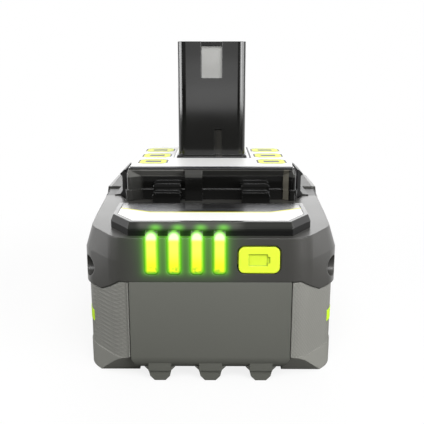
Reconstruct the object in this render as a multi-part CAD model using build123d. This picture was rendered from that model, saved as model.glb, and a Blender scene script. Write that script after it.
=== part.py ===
from build123d import *
import math
import os

# Power tool battery pack in millimetres. +X is to the right of the gauge face, +Y runs to the
# back and +Z is up. The origin lies under the middle of the pack, on the surface it stands on.
# A depth is measured back from the front face of the case.

# Clearances
press_gap = 0.05
running_gap = 0.3
seam_gap = 0.25
overrun = 2.0

# Cells
cell_diameter = 18.4
cell_length = 65.2
cell_gap = 0.6
cell_columns = 5
cell_layers = 2
cell_edge = 0.5
strip_thickness = 0.2
sheet_thickness = 0.3
sheet_margin = 2.5
holder_width = 8.4
holder_web = 0.5
bore_clearance = 0.1

# Walls of the case
case_wall = 2.4
side_lap = 1.6
grip_thickness = 2.0
case_floor = 2.2
floor_clearance = 3.4
gauge_room = 8.2
rear_room = 2.8
cover_roof = 1.8
ceiling_gap = 0.4

# Worked out from the cells and the walls
diagonal = math.sqrt(2)
cell_pitch = cell_diameter + cell_gap
cavity_half = cell_length / 2 + strip_thickness + sheet_thickness + 4 * press_gap
tub_half = cavity_half + case_wall + side_lap + grip_thickness + 2 * running_gap
holder_start = case_wall + grip_thickness + gauge_room
holder_end = holder_start + cell_columns * cell_pitch
body_length = holder_end + rear_room + grip_thickness + case_wall
cavity_floor = floor_clearance + case_floor
hole_radius = cell_diameter / 2 + bore_clearance
first_cell_height = cavity_floor + holder_web + hole_radius
cell_top = first_cell_height + (cell_layers - 1) * cell_pitch + cell_diameter / 2
ceiling = cell_top + bore_clearance + ceiling_gap
cover_top = ceiling + cover_roof

# Front face of the case; the lights and the button stand proud of it
gauge_proud = 0.3
front_y = (gauge_proud - body_length) / 2

# Gauge button and the seam under it, measured down from the top of the cover
button_drop = 2.6
button_height = 7.9
button_lift = 0.3
gauge_lift = 2.7
skirt_drop = 4.4
button_bottom = cover_top - button_drop - button_height
light_bottom = button_bottom - button_lift
seam_height = light_bottom - gauge_lift
skirt_height = seam_height - skirt_drop

# Plan of the case: (share of half width, share of length), from front middle to back middle
tub_plan_shares = ((0.687, 0.0), (0.977, 0.113), (1.0, 0.64), (1.0, 0.955), (0.80, 1.0))
plan_radii = (10.0, 12.0, 60.0, 6.0, 6.0)
panel_half = 24.1
panel_foot_inset = 1.8
panel_seam_turn = 7.4
panel_seam_drop = 3.6
panel_wall = 2.3
panel_foot_half = panel_half - panel_foot_inset
panel_room_half = panel_half - panel_wall
foot_slope_front = 8.4
foot_slope_rear = 4.0
panel_round = 5.0
foot_length = 30.0
foot_lift = 1.6

# Textured field and lime inlay on the grips
field_step = 0.25
field_bottom = 7.8
inlay_start = 11.3
inlay_length = 46.0
inlay_bottom = 15.4
inlay_height = 3.6
inlay_thickness = 0.8

# Skid ribs under the tub
rib_pitch = 15.5
rib_root_half = 4.7
rib_upper_half = 3.5
rib_shoulder_half = 3.05
rib_tip_half = 1.65
rib_shoulder = 1.45
rib_front = 1.2
rib_root_rise = 1.2

# Upper cover: its plan at four heights
cover_proud = 2.6
cover_half = tub_half + cover_proud
bulge_drop = 7.3
bulge_height = cover_top - bulge_drop
ramp_height = 2.7
ramp_setback = 26.2
ramp_run = 13.5
skirt_plan_shares = ((0.649, 0.0), (0.932, 0.120), (0.950, 0.27), (0.976, 0.67), (0.976, 0.935), (0.76, 1.0))
bulge_plan_shares = ((0.649, 0.0), (0.934, 0.130), (0.957, 0.27), (1.0, 0.67), (1.0, 0.93), (0.76, 1.0))
rim_plan_shares = ((0.649, 0.0), (0.877, 0.126), (0.908, 0.27), (0.976, 0.67), (0.974, 0.925), (0.75, 1.0))
ramp_plan_shares = ((0.649, 0.0), (0.856, 0.130), (0.885, 0.27), (0.930, 0.67), (0.925, 0.92), (0.73, 0.994))
cover_radii = (10.0, 12.0, 60.0, 60.0, 6.0, 6.0)
bumper_proud = 1.4
bumper_wall = 0.7
notch_flat_half = 27.0
notch_outer_half = 33.4
socket_radius = 3.3
socket_depth = 5.2
socket_back = 13.6
socket_lift = 0.8

# Charge gauge on the front
light_centres = (-17.2, -10.6, -3.9, 2.75)
light_width = 3.5
light_rise = 1.8
light_bevel = 1.0
light_corner = 1.1
light_ring = 0.5
light_ring_depth = 0.5
button_width = 12.0
button_gap = 0.4
button_side_room = 1.5
button_corner = 1.8
button_flange = 0.9
button_plate = 1.0
button_travel = 0.7
button_post_radius = 1.6
button_post = 0.9
icon_width = 5.5
icon_height = 3.5
icon_nub_width = 0.7
icon_nub_height = 1.9
icon_depth = 0.35
switch_size = 5.0
switch_height = 1.0
dome_floor = 0.5
gauge_board_side_gap = 0.4
board_thickness = 1.6
lamp_height = 0.8
lamp_width = 2.8
lamp_length = 3.5
button_left = panel_room_half - button_side_room - button_width
dome_height = button_travel + dome_floor

# Places of the deck block and the stem, from the back of the case
block_rear_ledge = 1.2
stem_rear_ledge = 4.9
stem_depth = 32.6
stem_setback = 25.8
block_rear = body_length - block_rear_ledge
stem_back = block_rear - stem_rear_ledge
stem_front = stem_back - stem_depth
block_front = stem_front - stem_setback

# Deck block that carries the stem
shoulder_width = 11.3
block_flare = 0.6
ridge_height = 3.9
block_height = 12.1
block_corner = 1.6
block_bevel = 0.8
block_bevel_height = 2.2
deck_wall = 1.8
recess_side = 5.0
recess_flare = 4.0
recess_rim = 0.5
recess_depth = 3.0
recess_top = 3.2
block_wall = 2.0
post_left = -9.7
post_width = 6.4
lug_inner = 11.0
lug_width = 10.0
lug_lower_reach = 7.1
lug_lower_height = 4.5
lug_upper_reach = 3.1
lug_upper_height = 7.1
lug_round = 1.2
block_half = cover_half - shoulder_width
block_foot_half = block_half + block_flare
recess_half = block_half - recess_side
deck_height = cover_top + block_height
ramp_start = block_front + ramp_setback

# Name plate on top of the cover
plate_height = 4.1
plate_front = 2.7
plate_gap = 14.0
plate_side_depth = 12.6
plate_taper = 0.4
plate_corner_cut = 6.6
plate_bevel = 1.9
plate_bevel_drop = 0.8
plate_wall = 2.2
label_recess = 0.25
label_thickness = 0.2
label_inset = 2.1
plate_side_half = block_half - plate_taper
plate_front_half = plate_side_half - plate_corner_cut
plate_rear = block_front - lug_lower_reach - plate_gap

# Stem
stem_half = 13.5
stem_height = 45.7
stem_corner = 3.2
stem_wall = 2.0
stem_foot = 0.8
stem_foot_height = 1.4
window_half = 4.15
window_height = 14.1
cap_thickness = 1.7
contact_recess = 0.9
contact_thickness = 0.8
tail_half = 1.2
tail_thickness = 0.6
carrier_board = 3.0
carrier_gap = 0.2
carrier_web_half = 2.6
signal_width = 4.0
signal_height = 8.0
signal_drop = 3.0
signal_back = 8.0
groove_left = 1.0
groove_width = 3.1
groove_height = 11.0
groove_depth = 0.9
deck_label_inset = 0.3
deck_label_back = 3.8
deck_label_side = 2.0
stem_top = deck_height + stem_height

# Release latches
latch_setback = 9.7
latch_length = 17.0
latch_travel = 2.0
latch_side_gap = 1.1
latch_bar_thickness = 1.3
latch_tip = 0.9
latch_bar_rise = 10.0
latch_tip_drop = 1.7
latch_neck_drop = 0.7
latch_foot_height = 0.6
latch_arm = 1.0
latch_pad_proud = 0.4
latch_pad_height = 8.6
latch_pad_corner = 1.4
pad_rib = 0.5
pad_ribs = 5
pocket_wall = 0.7
spring_radius = 2.2
spring_wire = 0.35
spring_turns = 4
spring_seat = 3.6
latch_front = block_front + latch_setback
latch_back = latch_front + latch_length
latch_bar_half = block_foot_half + latch_side_gap
pocket_inner = cavity_half + pocket_wall
latch_pad_inner = pocket_inner + latch_travel + running_gap
pad_rib_pitch = (latch_length - 2 * latch_pad_corner) / (pad_ribs - 1 / 2)
pad_top = cover_top - latch_foot_height
pad_bottom = pad_top - latch_pad_height

# Main board and its parts
board_side_gap = 2.6
board_front_gap = 1.2
board_rear_gap = 2.1
board_margin = 1.5
roof_ledge = 4.0
transistor_width = 6.6
transistor_depth = 6.0
transistor_height = 2.3
chip_size = 7.0
chip_height = 1.4
fuse_width = 4.0
fuse_length = 9.0
fuse_height = 3.2
lead_radius = 0.9
lead_bend = 2.4
lead_inset = 2.5
lead_drop = 1.5
ribbon_half = 3.5
ribbon_thickness = 0.15
bead_radius = 1.3
bead_length = 4.0
foam_inset = 2.7
foam_width = 9.0
room_half = latch_bar_half - latch_travel - running_gap - block_wall
room_front = block_front + recess_depth + block_wall
room_back = block_rear - block_wall
main_board_half = room_half - board_side_gap
main_board_front = room_front + board_front_gap
main_board_rear = holder_end - board_rear_gap
opening_half = main_board_half - roof_ledge

# Screws and their bosses
boss_radius = 2.9
boss_side_gap = 0.5
screw_radius = 1.3
screw_head_radius = 2.4
screw_head = 2.0
screw_length = 24.0
screw_sink = 0.3
driver_radius = 1.2
driver_depth = 1.0
boss_half = panel_room_half + boss_radius + boss_side_gap
screw_shoulder = cover_top - screw_sink - screw_head

# Nickel strips on the ends of the cells
strip_low = first_cell_height - cell_diameter / 4
strip_high = first_cell_height + cell_pitch + cell_diameter / 4
runner_height = 2.2
runner_top = cell_top - press_gap


def at(depth):
    """The Y of a place this far behind the front face."""
    return front_y + depth


def slab(x0, x1, depth0, depth1, z0, z1):
    """Straight block between two places along each axis."""
    middle = Pos((x0 + x1) / 2, at((depth0 + depth1) / 2), (z0 + z1) / 2)
    return middle * Box(x1 - x0, depth1 - depth0, z1 - z0)


def both_sides(solid):
    """A solid and its mirror image in the middle plane."""
    return solid + mirror(solid, about=Plane.YZ)


def closed_face(points, radii, height):
    """Level face inside an outline of (x, depth) points with rounded corners."""
    corners = [(x, at(depth), height) for x, depth in points]
    return make_face(FilletPolyline(*corners, radius=list(radii), close=True).edges())


def plan_face(shares, radii, half_width, height):
    """Level face from half a plan given as shares, mirrored to the other side."""
    right = [(x * half_width, depth * body_length) for x, depth in shares]
    left = [(-x, depth) for x, depth in reversed(right)]
    return closed_face(right + left, list(radii) + list(reversed(radii)), height)


def prism(points, z0, z1):
    """Upright block with an outline of (x, depth) points."""
    corners = [(x, at(depth), z0) for x, depth in points]
    return extrude(make_face(Polyline(*corners, close=True)), amount=z1 - z0, dir=(0, 0, 1))


def side_prism(points, x0, x1):
    """Block along X with an outline of (depth, z) points."""
    corners = [(x0, at(depth), z) for depth, z in points]
    return extrude(make_face(Polyline(*corners, close=True)), amount=x1 - x0, dir=(1, 0, 0))


def front_prism(points, depth0, depth1):
    """Block along Y with an outline of (x, z) points."""
    corners = [(x, at(depth0), z) for x, z in points]
    return extrude(make_face(Polyline(*corners, close=True)), amount=depth1 - depth0, dir=(0, 1, 0))


def rounded_slab(x0, x1, depth0, depth1, z0, z1, radius):
    """Block with its four upright edges rounded."""
    block = slab(x0, x1, depth0, depth1, z0, z1)
    return fillet(block.edges().filter_by(Axis.Z), radius)


def front_rounded_slab(x0, x1, depth0, depth1, z0, z1, radius):
    """Block with its four edges along Y rounded."""
    block = slab(x0, x1, depth0, depth1, z0, z1)
    return fillet(block.edges().filter_by(Axis.Y), radius)


def side_rounded_slab(x0, x1, depth0, depth1, z0, z1, radius):
    """Block with its four edges along X rounded."""
    block = slab(x0, x1, depth0, depth1, z0, z1)
    return fillet(block.edges().filter_by(Axis.X), radius)


def upright(x, depth, z0, z1, radius):
    """Upright cylinder."""
    return Pos(x, at(depth), (z0 + z1) / 2) * Cylinder(radius, z1 - z0)


def across(x0, x1, depth, z, radius):
    """Cylinder along X."""
    return Pos((x0 + x1) / 2, at(depth), z) * Rot(0, 90, 0) * Cylinder(radius, x1 - x0)


def inward(x, depth0, depth1, z, radius):
    """Cylinder along Y."""
    return Pos(x, at((depth0 + depth1) / 2), z) * Rot(90, 0, 0) * Cylinder(radius, depth1 - depth0)


def foot_wedge(front_size, rear_size):
    """Material in front of and behind the two slopes that rise from the feet."""
    reach = tub_half + overrun
    back = body_length + overrun
    front_tip = front_size + overrun
    rear_tip = rear_size + overrun
    front = [(-overrun, -overrun), (front_tip, -overrun), (-overrun, front_tip)]
    rear = [(back, -overrun), (body_length - rear_tip, -overrun), (back, rear_tip)]
    return side_prism(front, -reach, reach) + side_prism(rear, -reach, reach)


def grip_zone(gap):
    """Space of the two grips, outside the seams of the middle panel, widened or narrowed by a gap."""
    side = [
        (panel_half + gap, cover_top),
        (panel_half + gap, panel_seam_turn),
        (panel_foot_half + gap, panel_seam_turn - panel_seam_drop),
        (panel_foot_half + gap, -overrun),
        (cover_half + overrun, -overrun),
        (cover_half + overrun, cover_top),
    ]
    return both_sides(front_prism(side, -overrun, body_length + overrun))


def cavity():
    """Inside of the case, from its floor to the roof of the cover."""
    inset = grip_thickness + case_wall
    plan = offset(plan_face(tub_plan_shares, plan_radii, tub_half, cavity_floor), amount=-inset)
    space = extrude(plan, amount=ceiling - cavity_floor, dir=(0, 0, 1))
    space &= slab(-cavity_half, cavity_half, case_wall, body_length - case_wall, cavity_floor, ceiling)
    slope = inset * diagonal
    space -= foot_wedge(foot_slope_front + slope, foot_slope_rear + slope)
    back = body_length - case_wall
    return space + slab(-panel_room_half, panel_room_half, case_wall, back, cavity_floor, ceiling)


def tub_outside():
    """Outer form of the tub with its grips on."""
    plan = plan_face(tub_plan_shares, plan_radii, tub_half, 0)
    body = extrude(plan, amount=seam_height, dir=(0, 0, 1))
    return body - foot_wedge(foot_slope_front, foot_slope_rear)


def tub_core(gap):
    """Tub without its grips, grown by a gap all round."""
    inset = grip_thickness - gap
    plan = offset(plan_face(tub_plan_shares, plan_radii, tub_half, floor_clearance), amount=-inset)
    body = extrude(plan, amount=seam_height - floor_clearance, dir=(0, 0, 1))
    slope = inset * diagonal
    return body - foot_wedge(foot_slope_front + slope, foot_slope_rear + slope)


def middle_panel():
    """Front, floor and back of the tub between the seams, rounded under the front and back."""
    side = [
        (0, seam_height),
        (0, floor_clearance),
        (body_length, floor_clearance),
        (body_length, seam_height),
    ]
    panel = side_prism(side, -panel_half, panel_half)
    lower = panel.edges().filter_by(Axis.X).group_by(Axis.Z)[0]
    return fillet(lower, panel_round) - grip_zone(0)


def skid_rib(x):
    """One rib under the tub, flared where it leaves the floor."""
    rib_root = floor_clearance + rib_root_rise
    half_profile = [
        (rib_root_half, rib_root),
        (rib_upper_half, floor_clearance),
        (rib_shoulder_half, rib_shoulder),
        (rib_tip_half, 0),
    ]
    other = [(-side, z) for side, z in reversed(half_profile)]
    profile = [(x + side, z) for side, z in half_profile + other]
    rib = front_prism(profile, rib_front, body_length - rib_front)
    nose_height = rib_root + panel_round
    side = rib_upper_half
    nose = slab(x - side, x + side, rib_front / 2, panel_round, floor_clearance, nose_height)
    return rib + nose


def boss_places():
    """Where the four case screws stand, as (x, depth), in front of and behind the cell holders."""
    front = holder_start - press_gap - boss_radius
    rear = holder_end + press_gap + boss_radius
    return [(side * boss_half, depth) for side in (-1, 1) for depth in (front, rear)]


def make_lower_case():
    case = middle_panel() + tub_core(0)
    case -= cavity()
    for place in (-rib_pitch, 0, rib_pitch):
        case += skid_rib(place)
    inside = tub_core(0) & slab(-tub_half, tub_half, 0, body_length, floor_clearance, seam_height)
    for x, depth in boss_places():
        case += upright(x, depth, floor_clearance, seam_height, boss_radius) & inside
    for x, depth in boss_places():
        hole_end = screw_shoulder - screw_length
        case -= upright(x, depth, hole_end, seam_height + overrun, screw_radius + press_gap)
    return case


def grip_top_cut(gap):
    """Space above the grips, under the skirt of the cover."""
    step = [
        (0, seam_height - gap),
        (notch_flat_half, seam_height - gap),
        (notch_outer_half, skirt_height - gap),
        (cover_half + overrun, skirt_height - gap),
        (cover_half + overrun, cover_top),
        (0, cover_top),
    ]
    return both_sides(front_prism(step, -overrun, body_length + overrun))


def make_grips():
    shell = (tub_outside() - tub_core(press_gap)) & grip_zone(seam_gap)
    shell -= grip_top_cut(seam_gap)
    arch_start = foot_slope_front + foot_length
    arch_end = body_length - foot_slope_rear - foot_length
    shell -= slab(-cover_half, cover_half, arch_start, arch_end, -overrun, foot_lift)
    field_plan = plan_face(tub_plan_shares, plan_radii, tub_half, field_bottom)
    field_ring = extrude(field_plan, amount=skirt_height, dir=(0, 0, 1))
    field_ring -= extrude(offset(field_plan, amount=-field_step), amount=skirt_height, dir=(0, 0, 1))
    shell -= field_ring & grip_zone(seam_gap + field_step * 2)
    shell -= both_sides(inlay_band(press_gap))
    halves = shell.solids()
    left = max((s for s in halves if s.center().X < 0), key=lambda s: s.volume)
    right = max((s for s in halves if s.center().X > 0), key=lambda s: s.volume)
    return left, right


def inlay_band(gap):
    """Lime inlay on the right side, as deep as its thickness in the face of the grip."""
    low = inlay_bottom - gap
    high = inlay_bottom + inlay_height + gap
    plan = offset(plan_face(tub_plan_shares, plan_radii, tub_half, low), amount=-field_step / 2)
    ring = extrude(plan, amount=high - low, dir=(0, 0, 1))
    inner = offset(plan, amount=-inlay_thickness - gap)
    ring -= extrude(inner, amount=high - low, dir=(0, 0, 1))
    return ring & slab(0, cover_half, inlay_start - gap, inlay_start + inlay_length + gap, low, high)


def light_profile(gap):
    """Side outline of a light bar as (depth, z), grown by a gap."""
    inner = gauge_board_front() - lamp_height - running_gap
    return [
        (-gauge_proud - gap, light_bottom - gap),
        (-gauge_proud - gap, cover_top - light_bevel),
        (light_bevel - gap, cover_top + light_rise),
        (plate_front - running_gap / 2, cover_top + light_rise),
        (plate_front - running_gap / 2, ceiling - light_bevel + gap),
        (inner, ceiling - 2 * light_bevel + gap),
        (inner, light_bottom + light_bevel - gap),
        (case_wall, light_bottom - gap),
    ]


def gauge_board_front():
    """Depth of the front of the gauge board, behind the button, dome and switch."""
    return case_wall + press_gap + button_plate + button_post + dome_height + switch_height


def light_bar(x, gap):
    """Light bar about this X with rounded lower corners, grown by a gap."""
    half = light_width / 2 + gap
    low = light_bottom - gap
    above = cover_top + light_rise + light_corner
    outline = front_rounded_slab(x - half, x + half, -overrun, gauge_board_front(), low, above, light_corner)
    return side_prism(light_profile(gap), x - half, x + half) & outline


def make_button():
    right = button_left + button_width
    top = button_bottom + button_height
    back = case_wall + press_gap
    face = front_rounded_slab(button_left, right, -gauge_proud, back, button_bottom, top, button_corner)
    middle_x = (button_left + right) / 2
    middle_z = (button_bottom + top) / 2
    icon_left = middle_x - (icon_width + icon_nub_width) / 2
    floor = icon_depth - gauge_proud
    icon_low = middle_z - icon_height / 2
    nub_left = icon_left + icon_width
    symbol = slab(icon_left, nub_left, -overrun, floor, icon_low, icon_low + icon_height)
    nub_half = icon_nub_height / 2
    nub_right = nub_left + icon_nub_width
    symbol += slab(nub_left, nub_right, -overrun, floor, middle_z - nub_half, middle_z + nub_half)
    flange = slab(
        button_left - button_flange,
        right + button_flange,
        back,
        back + button_plate,
        button_bottom + button_corner,
        top - button_corner,
    )
    post_start = back + button_plate
    post = inward(middle_x, post_start, post_start + button_post, middle_z, button_post_radius)
    return face - symbol + flange + post


def button_middle():
    """The (x, z) of the middle of the button."""
    return button_left + button_width / 2, button_bottom + button_height / 2


def make_gauge():
    """Gauge board with its four lamps, the switch and the dome that the button presses."""
    front = gauge_board_front()
    bottom = foot_slope_front + (grip_thickness + case_wall) * diagonal - front + press_gap
    side = panel_room_half - gauge_board_side_gap
    board = slab(-side, side, front, front + board_thickness, bottom, ceiling - press_gap)
    middle_x, middle_z = button_middle()
    lamp_z = button_bottom + button_height / 2
    half = lamp_width / 2
    low = lamp_z - lamp_length / 2
    high = lamp_z + lamp_length / 2
    lamps = Part() + [slab(x - half, x + half, front - lamp_height, front, low, high) for x in light_centres]
    half = switch_size / 2
    switch_front = front - switch_height
    low = middle_z - half
    high = middle_z + half
    switch = slab(middle_x - half, middle_x + half, switch_front, front, low, high)
    dome = inward(middle_x, switch_front - dome_height, switch_front, middle_z, button_post_radius)
    return board, lamps, switch, dome


def cover_collar(half_width):
    """Outer form of the cover from its skirt up to the rim, this wide on either side."""
    skirt = plan_face(skirt_plan_shares, cover_radii, half_width, skirt_height)
    bulge = plan_face(bulge_plan_shares, cover_radii, half_width, bulge_height)
    rim = plan_face(rim_plan_shares, cover_radii, half_width, cover_top)
    return loft([skirt, bulge], ruled=True) + loft([bulge, rim], ruled=True)


def cover_blank():
    """Outer form of the cover, with its raised back and the bumpers behind the latch pads."""
    rim = plan_face(rim_plan_shares, cover_radii, cover_half, cover_top)
    ramp = plan_face(ramp_plan_shares, cover_radii, cover_half, cover_top + ramp_height)
    blank = cover_collar(cover_half) + loft([rim, ramp], ruled=True)
    reach = cover_half + overrun
    bumper_start = latch_back + running_gap + bumper_wall
    rear = slab(-reach, reach, bumper_start, body_length, skirt_height, cover_top)
    blank += cover_collar(cover_half + bumper_proud) & rear
    air = [
        (-overrun, cover_top),
        (ramp_start, cover_top),
        (ramp_start + ramp_run, cover_top + ramp_height),
        (ramp_start + ramp_run, cover_top + ramp_height + overrun),
        (-overrun, cover_top + ramp_height + overrun),
    ]
    return blank - side_prism(air, -cover_half - overrun, cover_half + overrun)


def front_notch():
    """Low part of the cover's front and back, where the middle panel stands up to the seam."""
    step = [
        (-notch_outer_half, skirt_height),
        (-notch_flat_half, seam_height),
        (notch_flat_half, seam_height),
        (notch_outer_half, skirt_height),
        (notch_outer_half, skirt_height - overrun),
        (-notch_outer_half, skirt_height - overrun),
    ]
    return front_prism(step, -overrun, body_length + overrun)


def make_cover():
    cover = cover_blank() - front_notch() - tub_core(running_gap / 2)
    inside = cavity()
    cover -= inside
    for x, depth in boss_places():
        boss = upright(x, depth, seam_height, ceiling, boss_radius) & inside
        cover += boss
        cover -= upright(x, depth, skirt_height, cover_top, screw_radius + press_gap)
        cover -= upright(x, depth, screw_shoulder, cover_top + overrun, screw_head_radius + press_gap)
    for side in (-1, 1):
        outer = side * (cover_half + overrun)
        inner = side * (bulge_plan_shares[1][0] * cover_half - socket_depth)
        near, far = sorted((outer, inner))
        cover -= across(near, far, socket_back, seam_height + socket_lift, socket_radius)
    foot = block_foot_half + press_gap
    above = cover_top + ramp_height + overrun
    cover -= slab(-foot, foot, block_front - press_gap, block_rear + press_gap, cover_top, above)
    opening_front = main_board_front + case_wall
    opening_back = main_board_rear - case_wall
    cover -= slab(-opening_half, opening_half, opening_front, opening_back, ceiling - overrun, above)
    ring = light_width / 2 + light_ring
    ring_low = light_bottom - light_ring
    ring_top = cover_top + overrun
    ring_corner = light_corner + light_ring
    for x in light_centres:
        cover -= light_bar(x, press_gap)
        cover -= front_rounded_slab(
            x - ring, x + ring, -overrun, light_ring_depth, ring_low, ring_top, ring_corner
        )
    gap = button_gap
    left = button_left - gap
    right = button_left + button_width + gap
    low = button_bottom - gap
    high = button_bottom + button_height + gap
    cover -= front_rounded_slab(left, right, -overrun, case_wall + overrun, low, high, button_corner + gap)
    return cover - both_sides(latch_pocket())


def latch_outline(gap):
    """Front outline of the right latch as (x, z), grown by a gap; its hook points outwards."""
    bar_out = latch_bar_half + latch_bar_thickness
    arm_low = cover_top - latch_arm
    tip_height = cover_top + latch_bar_rise - latch_tip_drop
    return [
        (latch_bar_half - gap, arm_low - gap),
        (latch_bar_half - gap, cover_top + latch_bar_rise),
        (latch_bar_half + latch_tip / 2, cover_top + latch_bar_rise),
        (bar_out + latch_tip + gap, tip_height),
        (bar_out + gap, tip_height - latch_neck_drop),
        (bar_out + gap, cover_top + latch_arm + latch_tip),
        (bar_out + latch_tip + gap, cover_top + latch_foot_height),
        (latch_pad_inner + latch_arm, cover_top + latch_foot_height / 2),
        (latch_pad_inner + latch_arm, arm_low - gap),
    ]


def make_latch():
    """Right latch: hook bar beside the deck block, arm over the pocket and pad on the side."""
    reach = cover_half + overrun
    arm = front_prism(latch_outline(0), latch_front, latch_back)
    block = side_rounded_slab(
        latch_pad_inner, reach, latch_front, latch_back, pad_bottom, pad_top, latch_pad_corner
    )
    latch = arm + (block & cover_collar(cover_half + latch_pad_proud - pad_rib))
    ridged = block & cover_collar(cover_half + latch_pad_proud)
    first = latch_front + latch_pad_corner
    for number in range(pad_ribs):
        start = first + number * pad_rib_pitch
        latch += ridged & slab(latch_pad_inner, reach, start, start + pad_rib_pitch / 2, pad_bottom, pad_top)
    middle, seat_z = spring_place()
    seat_end = latch_pad_inner + spring_seat
    seat_radius = spring_radius + running_gap
    return latch - across(latch_pad_inner - overrun, seat_end, middle, seat_z, seat_radius)


def spring_place():
    """The (depth, z) of the axis of a latch spring, in the middle of the pad."""
    return latch_front + latch_length / 2, (pad_top + pad_bottom) / 2


def latch_pocket():
    """Room in the right side of the cover for the latch over its whole travel."""
    gap = running_gap
    near = latch_front - gap
    far = latch_back + gap
    above = cover_top + ramp_height + overrun
    outer = cover_half + overrun
    corner = latch_pad_corner + gap
    pocket = side_rounded_slab(pocket_inner, outer, near, far, pad_bottom - gap, above, corner)
    slot_inner = latch_bar_half - latch_travel - gap
    slot_low = cover_top - latch_arm - gap
    pocket += slab(slot_inner, pocket_inner + gap, near, far, slot_low, above)
    flare = [
        (slot_inner, near),
        (latch_bar_half + latch_arm + latch_tip, near),
        (block_foot_half + press_gap, block_front + latch_travel),
        (block_foot_half - latch_arm, block_front + latch_travel),
    ]
    return pocket + prism(flare, slot_low + gap, cover_top + overrun)


def make_latch_spring():
    """Compression spring between the wall of the pocket and the seat in the latch."""
    start = pocket_inner + spring_wire + press_gap
    end = latch_pad_inner + spring_seat - spring_wire - press_gap
    rise = end - start
    middle, seat_z = spring_place()
    coil_radius = spring_radius - spring_wire
    path = Helix(pitch=rise / spring_turns, height=rise, radius=coil_radius)
    profile = Plane(path @ 0, z_dir=path % 0) * Circle(spring_wire)
    coil = sweep(profile, path=path, is_frenet=True)
    return Pos(start, at(middle), seat_z) * Rot(0, 90, 0) * coil


def make_name_plate():
    """Raised black plate with a bevelled rim, and the label that lies in it."""
    outline = [
        (plate_front_half, plate_front),
        (plate_side_half, plate_side_depth),
        (block_half, plate_rear),
        (-block_half, plate_rear),
        (-plate_side_half, plate_side_depth),
        (-plate_front_half, plate_front),
    ]
    top = cover_top + plate_height
    plate = prism(outline, cover_top, top)
    rim = plate.faces().sort_by(Axis.Z)[-1].edges()
    plate = chamfer(rim, plate_bevel_drop, plate_bevel, reference=plate.faces().sort_by(Axis.Z)[-1])
    base = make_face(Polyline(*[(x, at(depth), cover_top) for x, depth in outline], close=True))
    inner = offset(base, amount=-plate_wall, kind=Kind.INTERSECTION)
    plate -= extrude(inner, amount=plate_height - plate_wall, dir=(0, 0, 1))
    raised = Pos(0, 0, plate_height - label_recess) * base
    bed = extrude(offset(raised, amount=-label_inset, kind=Kind.INTERSECTION), amount=overrun, dir=(0, 0, 1))
    plate -= bed
    sheet = offset(raised, amount=-label_inset - press_gap, kind=Kind.INTERSECTION)
    return plate, extrude(sheet, amount=label_thickness, dir=(0, 0, 1))


def lug(inner, reach, height):
    """One step of a lug in front of the deck block, with rounded upper corners."""
    front = block_front - reach
    back = block_front + recess_depth + press_gap
    block = slab(inner, inner + lug_width, front, back, cover_top, cover_top + height)
    corners = block.edges().filter_by(Axis.Y).group_by(Axis.Z)[-1]
    return fillet(corners, lug_round)


def deck_block():
    """Black block on the cover with its recess, post, lugs and side notches."""
    top = deck_height
    ridge = cover_top + ridge_height
    side = block_foot_half
    foot = rounded_slab(-side, side, block_front, block_rear, cover_top, ridge, block_corner)
    upper = rounded_slab(-block_half, block_half, block_front, block_rear, ridge, top, block_corner)
    rim = upper.faces().sort_by(Axis.Z)[-1]
    upper = chamfer(rim.edges(), block_bevel, block_bevel_height, reference=rim)
    block = foot + upper
    recess_back = block_front + recess_depth
    mouth = recess_half + recess_flare
    recess = loft([
        recess_face(mouth, block_front, ridge, top - recess_rim),
        recess_face(recess_half, recess_back, ridge, top - recess_top),
    ])
    low = cover_top - overrun
    recess += loft([
        recess_face(mouth, block_front - block_bevel, low, ridge),
        recess_face(recess_half, recess_back - block_bevel, low, ridge),
    ])
    recess += slab(-recess_half, recess_half, block_front - overrun, recess_back - block_bevel, low, ridge)
    post_right = post_left + post_width
    post = slab(post_left, post_right, block_front - overrun, recess_back, cover_top - overrun, top)
    block -= recess - post
    block += lug(lug_inner, lug_lower_reach, lug_lower_height)
    block += lug(lug_inner, lug_upper_reach, lug_upper_height)
    block += lug(-lug_inner - lug_width, lug_lower_reach, lug_lower_height)
    block += lug(-lug_inner - lug_width, lug_upper_reach, lug_upper_height)
    return block - both_sides(block_notch())


def recess_face(half, depth, low, high):
    """Upright rectangle across the front recess at this depth."""
    y = at(depth)
    return make_face(Polyline((-half, y, low), (half, y, low), (half, y, high), (-half, y, high), close=True))


def block_notch():
    """Room in the right side of the block for the latch bar as it moves in."""
    gap = running_gap
    inner = latch_bar_half - latch_travel - gap
    outer = block_foot_half + overrun
    roof = cover_top + latch_bar_rise + gap
    return slab(inner, outer, latch_front - gap, latch_back + gap, cover_top - overrun, roof)


def stem_windows():
    """Contact windows: open-topped at the front and back, small ones in the sides."""
    low = stem_top - window_height
    high = stem_top + overrun
    wall = stem_wall + press_gap
    cut = slab(-window_half, window_half, stem_front - overrun, stem_front + wall, low, high)
    cut += slab(-window_half, window_half, stem_back - wall, stem_back + overrun, low, high)
    high = stem_top - signal_drop
    low = high - signal_height
    near = stem_front + signal_back
    return cut + both_sides(slab(stem_half - wall, stem_half + overrun, near, near + signal_width, low, high))


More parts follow.
